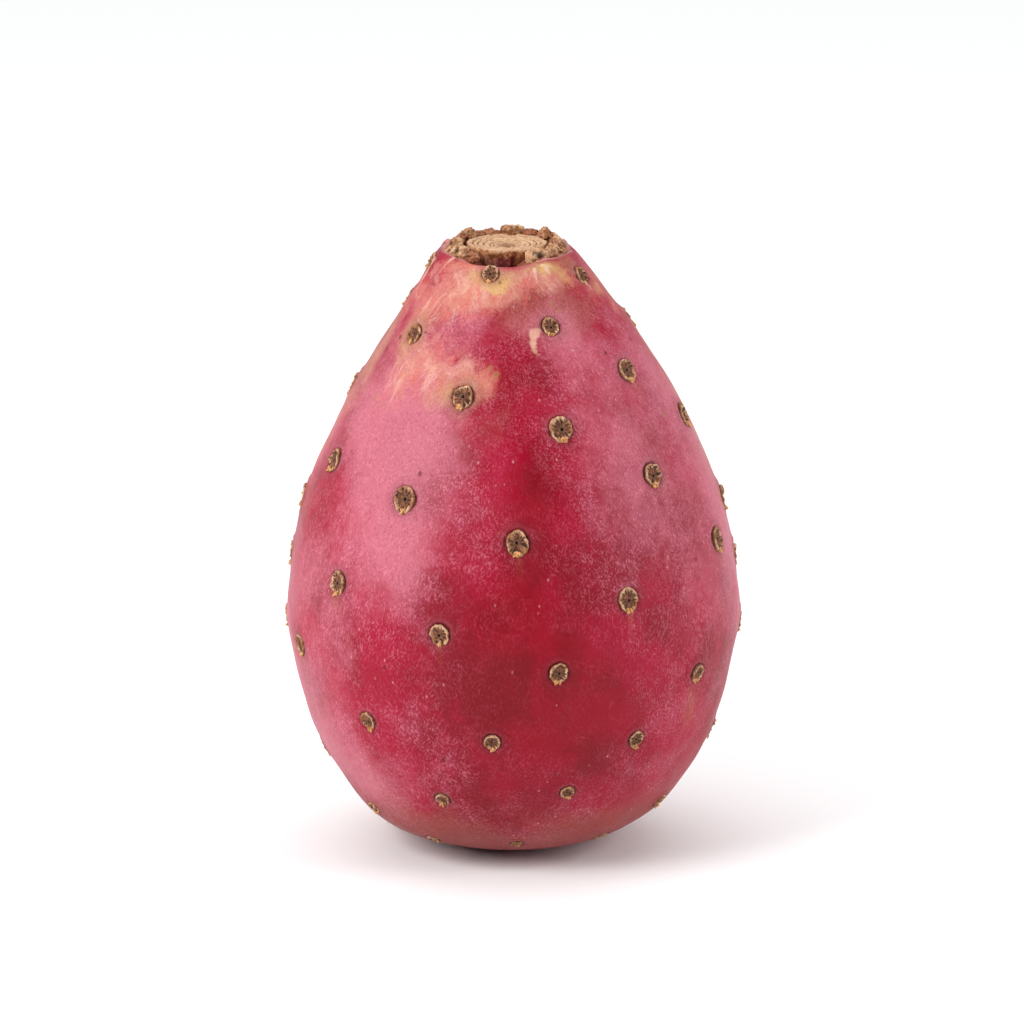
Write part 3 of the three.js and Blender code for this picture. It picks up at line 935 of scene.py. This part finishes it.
pith = ramp(tree, maths(tree, "MULTIPLY_ADD", patchy, 1.2, ring), 2.5, 1.0)
face_wood = mixed(tree, times(tree, pith, 0.85), face_wood, PITH_BROWN)
# Painted shade: the crack in the pith is coloured near black.
pith_hole_shade = ramp(tree, maths(tree, "MULTIPLY_ADD", fibres, 0.5, ring), 0.85, 0.4, 0, 0.9)
face_wood = mixed(tree, pith_hole_shade, face_wood, PITH_HOLE_SHADE)
drips = grain(tree, stretched(tree, place, (1, 1, 0.3)), 2.6, 3, 0.6)
bark = mixed(tree, ramp(tree, fibres, 0.35, 0.65), SIDE_CRIMSON, SIDE_RED)
bark = mixed(tree, ramp(tree, x_mm, 0.2, 1.6, 0, 0.75), bark, SIDE_BROWN)
bark = mixed(tree, ramp(tree, x_mm, -1.2, -2.6, 0, 0.7), bark, SIDE_TAN)
bark = mixed(tree, ramp(tree, drips, 0.5, 0.35, 0, 0.7), bark, SIDE_DRIP)
# Painted shade: the side darkens further down, where it goes into the seat under the skin.
bark = mixed(tree, ramp(tree, depth_mm, 1.2, 2.4, 0, 0.5), bark, SIDE_DEEP_SHADE)
edge_depth = maths(tree, "ADD", depth_mm, swing(tree, drips, 1.6))
crust = mixed(tree, ramp(tree, fibres, 0.35, 0.65), CRUST_BROWN, CRUST_ORANGE)
colour = mixed(tree, ramp(tree, edge_depth, 0.0, 0.3), face_wood, crust)
colour = mixed(tree, ramp(tree, edge_depth, 0.6, 1.1), colour, bark)
relief = maths(tree, "MULTIPLY_ADD", groove, -0.4, fibres)
bump = add_node(tree, "Bump", {"Height": relief, "Distance": 0.1 * MM}).outputs[0]
surface(tree, {"Base Color": colour, "Roughness": 0.72, "Normal": bump, "Specular IOR Level": 0.35})

stump_piece = finished("stem_stump", stump, wood)
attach(stump_piece, "root")

# The crown of cork knobs
# Old areoles crowd together round the stump and have dried into a ring of lumpy cork knobs. Some are
# cupped, with hollows painted dark as shade, and some are low folds of red-brown bark.
# Each knob is (azimuth, distance from the stump's middle, size, rise, lean outwards, hollow depth),
# in degrees and mm.
KNOBS = [
    (-122, 5.9, 1.30, 0.15, 35, 0.60),
    (-157, 5.7, 1.20, -0.10, 20, 0.15),
    (-140, 5.8, 0.95, 0.0, 25, 0.20),
    (174, 5.8, 1.40, 0.15, 20, 0.50),
    (149, 5.8, 1.20, -0.10, 20, 0.15),
    (120, 5.9, 1.40, 0.15, 35, 0.65),
    (97, 6.4, 1.05, -0.35, 45, 0.35),
    (77, 6.3, 1.20, -0.40, 50, 0.60),
    (55, 6.5, 1.05, -0.60, 55, 0.35),
    (35, 6.4, 1.40, -0.85, 60, 0.60),
    (-45, 6.4, 0.95, -1.00, 60, 0.20),
    (-61, 6.7, 1.25, -0.65, 55, 0.65),
    (-84, 6.6, 1.30, -0.40, 50, 0.60),
    (-104, 6.3, 1.10, -0.15, 40, 0.15),
]

# Knobs that are folds of red-brown bark, by their place in the list above.
BARK_FOLDS = (1, 2, 4, 10, 13)


def cork_knob(seed, size, hollow):
    """One knob in mm about its own middle, facing +Z: a lump with a hollow on top and rough sides."""
    knob = bmesh.new()
    bmesh.ops.create_icosphere(knob, subdivisions=4, radius=1)
    depth = knob.verts.layers.float.new("hollow")
    bark = knob.verts.layers.float.new("bark")
    own = random.Random(seed)
    dents = []
    for _ in range(3):
        dent = Vector((own.uniform(-1, 1), own.uniform(-1, 1), own.uniform(0.1, 1)))
        dents.append(dent.normalized())
    for vert in knob.verts:
        way = vert.co.normalized()
        rough = way * 1.3 + Vector((seed * 3.7, 0, 0))
        swell = 1 + 0.34 * noise.noise(rough) + 0.18 * noise.noise(rough * 2.3)
        swell += 0.09 * noise.noise(rough * 5)
        ridge = 1 - abs(noise.noise(rough * 2.9 + Vector((0, 9, 0))))
        swell += 0.3 * (ridge - 0.8) + 0.07 * noise.noise(rough * 8)
        sunk = hollow * math.exp(-((way.angle(Vector((0, 0, 1))) / 0.55) ** 2))
        for dent in dents:
            sunk += 0.34 * math.exp(-((way.angle(dent) / 0.24) ** 2))
        crevice = abs(noise.noise(rough * 1.9 + Vector((0, 4, seed))))
        sunk += 0.28 * math.exp(-((crevice / 0.05) ** 2))
        lip = 0.13 * hollow * math.exp(-(((way.angle(Vector((0, 0, 1))) - 0.95) / 0.25) ** 2))
        vert.co = way * (swell - sunk + lip)
        # How sunk each point is, kept for the painted shade in the hollows.
        vert[depth] = min(sunk * 1.6, 1)
        vert[bark] = float(seed - 1 in BARK_FOLDS)
    long, deep, tall = (1.4, 0.85, 0.62) if seed - 1 in BARK_FOLDS else (1.15, 0.92, 0.78)
    bmesh.ops.scale(knob, vec=(long * size * MM, deep * size * MM, tall * size * MM), verts=knob.verts)
    bmesh.ops.recalc_face_normals(knob, faces=knob.faces)
    return knob


knobs = bmesh.new()
for seed, (azimuth, distance, size, rise, lean, hollow) in enumerate(KNOBS):
    knob = cork_knob(seed + 1, size, hollow)
    turn = math.radians(azimuth)
    for angle, axis in ((math.radians(lean), "X"), (turn, "Z")):
        bmesh.ops.rotate(knob, cent=(0, 0, 0), matrix=Matrix.Rotation(angle, 3, axis), verts=knob.verts)
    middle = Vector((math.sin(turn), -math.cos(turn), 0)) * distance * MM
    middle += STUMP_OFFSET + Vector((0, 0, body_height + rise * MM))
    bmesh.ops.translate(knob, vec=middle, verts=knob.verts)
    join(knobs, knob)

KNOB_BROWN = (0.30, 0.115, 0.04, 1)
KNOB_TAN = (0.66, 0.39, 0.22, 1)
KNOB_ORANGE = (0.52, 0.20, 0.06, 1)
BARK_RED = (0.32, 0.10, 0.05, 1)
KNOB_CREVICE = (0.08, 0.032, 0.015, 1)
KNOB_HOLLOW_SHADE = (0.055, 0.024, 0.012, 1)

knob_cork = new_material("crown_cork")
tree = knob_cork.node_tree
here = add_node(tree, "TexCoord").outputs["Object"]
sunk = stored(tree, "hollow")
grains = {"Place": here, "Crumb Scale": 2800, "Blotch Scale": 620}
crumbs, blotches = add_node(tree, "Group", grains, node_tree=dry_grain).outputs
bark_share = stored(tree, "bark")
redness = maths(tree, "MULTIPLY_ADD", bark_share, 0.3, grain(tree, here, 420, 2))
colour = mixed(tree, ramp(tree, blotches, 0.4, 0.6), KNOB_BROWN, KNOB_TAN)
orange = ramp(tree, grain(tree, here, 760, 2, 0.5, 0.4), 0.55, 0.68, 0, 0.6)
colour = mixed(tree, orange, colour, KNOB_ORANGE)
colour = mixed(tree, ramp(tree, redness, 0.52, 0.68, 0, 0.75), colour, BARK_RED)
colour = mixed(tree, ramp(tree, crumbs, 0.5, 0.3, 0, 0.7), colour, KNOB_CREVICE)
# Painted shade: the hollows and dents are coloured dark, the deeper the darker.
ragged_hollow_shade = maths(tree, "ADD", sunk, swing(tree, blotches, 0.8))
colour = mixed(tree, ramp(tree, ragged_hollow_shade, 0.2, 0.9, 0, 0.92), colour, KNOB_HOLLOW_SHADE)
relief = maths(tree, "MULTIPLY_ADD", blotches, 1.2, crumbs)
bump = add_node(tree, "Bump", {"Height": relief, "Distance": 0.2 * MM}).outputs[0]
surface(tree, {"Base Color": colour, "Roughness": 0.78, "Normal": bump, "Specular IOR Level": 0.3})

knob_piece = finished("crown_knobs", knobs, knob_cork)
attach(knob_piece, "root")

# The flower scar
# Underneath, the flower left a round, dry, corky scar sunk in a shallow dish, ringed by the torn
# edges of its petals. It hides below the fruit and is finished all the same.
FLOWER_STEPS = 110
FLOWER_HEIGHT = 1.1 * MM
PETAL_RING_SPACING = 0.75
FLOWER_PROFILE = [(0, 0.25)] + [(i * 0.09, 0.25 + 0.00279 * i) for i in range(1, 44)]
FLOWER_PROFILE += [(4.05, 0.25), (4.3, 0.0), (4.5, -0.45), (4.5, -0.8), (0, -0.8)]
flower = lathe([(r * MM, 0, h * MM) for r, h in FLOWER_PROFILE], FLOWER_STEPS, 0.005 * MM)
sunken_shade = flower.verts.layers.float.new("hollow")
for vert in flower.verts:
    r, turn = math.hypot(vert.co.x, vert.co.y) / MM, math.atan2(vert.co.y, vert.co.x)
    compass = Vector((math.cos(turn), math.sin(turn), 0))
    if vert.co.z > 0.1 * MM:
        swayed = r + 0.3 * noise.noise(compass + Vector((0, 0, r * 0.3)))
        wave = math.cos(math.tau * swayed / PETAL_RING_SPACING)
        lift = 0.12 * wave + 0.25 * noise.noise(vert.co / (0.8 * MM)) - 0.3 * math.exp(-((r / 0.7) ** 2))
        vert.co.z += lift * MM
        # How low each point lies between the rings, kept for the painted shade that the crown cork puts in
        # hollows.
        vert[sunken_shade] = min(max(-2.5 * lift, 0), 1)
    vert.co += compass * (0.3 * noise.noise(compass * 3) * smooth(r, 3, 4.3)) * MM
bmesh.ops.rotate(flower, cent=(0, 0, 0), matrix=Matrix.Rotation(math.pi, 3, "X"), verts=flower.verts)
bmesh.ops.translate(flower, vec=(0, 0, FLOWER_HEIGHT), verts=flower.verts)

flower_piece = finished("flower_scar", flower, knob_cork)
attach(flower_piece, "root")

# The studio
# A plain white floor, a large soft light on each side and one overhead, and a long lens that looks
# down a little on the fruit.
FLOOR_REACH = 3
FLOOR_WHITE = (0.925, 0.94, 0.94, 1)
floor_shape = bmesh.new()
bmesh.ops.create_grid(floor_shape, x_segments=1, y_segments=1, size=FLOOR_REACH)
white = new_material("white_floor")
surface(white.node_tree, {"Base Color": FLOOR_WHITE, "Roughness": 0.9})
floor_mesh = bpy.data.meshes.new("floor")
floor_shape.to_mesh(floor_mesh)
floor_shape.free()
floor_mesh.materials.append(white)
floor = bpy.data.objects.new("floor", floor_mesh)
bpy.context.scene.collection.objects.link(floor)

# The lens looks at a point a little below the fruit's middle.
AIM = Vector((-0.0002, 0, 0.042))
CAMERA_DISTANCE = 0.8
CAMERA_ELEVATION = 14.5
SENSOR_WIDTH = 36
FOCAL_LENGTH = 224


def around_fruit(azimuth, elevation, distance):
    """A point at a distance from the aim point, azimuth 0 to the front and positive towards +X."""
    turn, rise = math.radians(azimuth), math.radians(elevation)
    away = Vector((math.sin(turn) * math.cos(rise), -math.cos(turn) * math.cos(rise), math.sin(rise)))
    return AIM + away * distance


def look_at_fruit(thing):
    thing.rotation_mode = "QUATERNION"
    thing.rotation_quaternion = (AIM - thing.location).to_track_quat("-Z", "Y")


lens = bpy.data.cameras.new("camera")
lens.sensor_width = SENSOR_WIDTH
lens.lens = FOCAL_LENGTH
camera = bpy.data.objects.new("camera", lens)
camera.location = around_fruit(0, CAMERA_ELEVATION, CAMERA_DISTANCE)
look_at_fruit(camera)
bpy.context.scene.collection.objects.link(camera)
bpy.context.scene.camera = camera

for name, azimuth, elevation, distance, wide, tall, watts in (
    ("left_softbox", -54, 32, 0.55, 0.28, 0.32, 2.7),
    ("right_softbox", 70, 24, 0.6, 0.22, 0.36, 1.7),
    ("top_softbox", 180, 70, 1.8, 2.6, 2.6, 20),
):
    light = bpy.data.lights.new(name, "AREA")
    light.shape = "RECTANGLE"
    light.size = wide
    light.size_y = tall
    light.energy = watts
    lamp = bpy.data.objects.new(name, light)
    lamp.location = around_fruit(azimuth, elevation, distance)
    look_at_fruit(lamp)
    bpy.context.scene.collection.objects.link(lamp)

# The room is white at the back and the sides and dark on the camera's side.
world = bpy.data.worlds.new("studio")
world.use_nodes = True
room = world.node_tree
direction = add_node(room, "SeparateXYZ", {0: add_node(room, "TexCoord").outputs["Generated"]})
brightness = ramp(room, direction.outputs[1], -0.9, 0.3, 0.14, 0.75)
room.links.new(brightness, room.nodes["Background"].inputs["Strength"])
room.nodes["Background"].inputs["Color"].default_value = (1, 1, 1, 1)
bpy.context.scene.world = world
bpy.context.scene.view_settings.view_transform = "Standard"

bpy.context.view_layer.update()
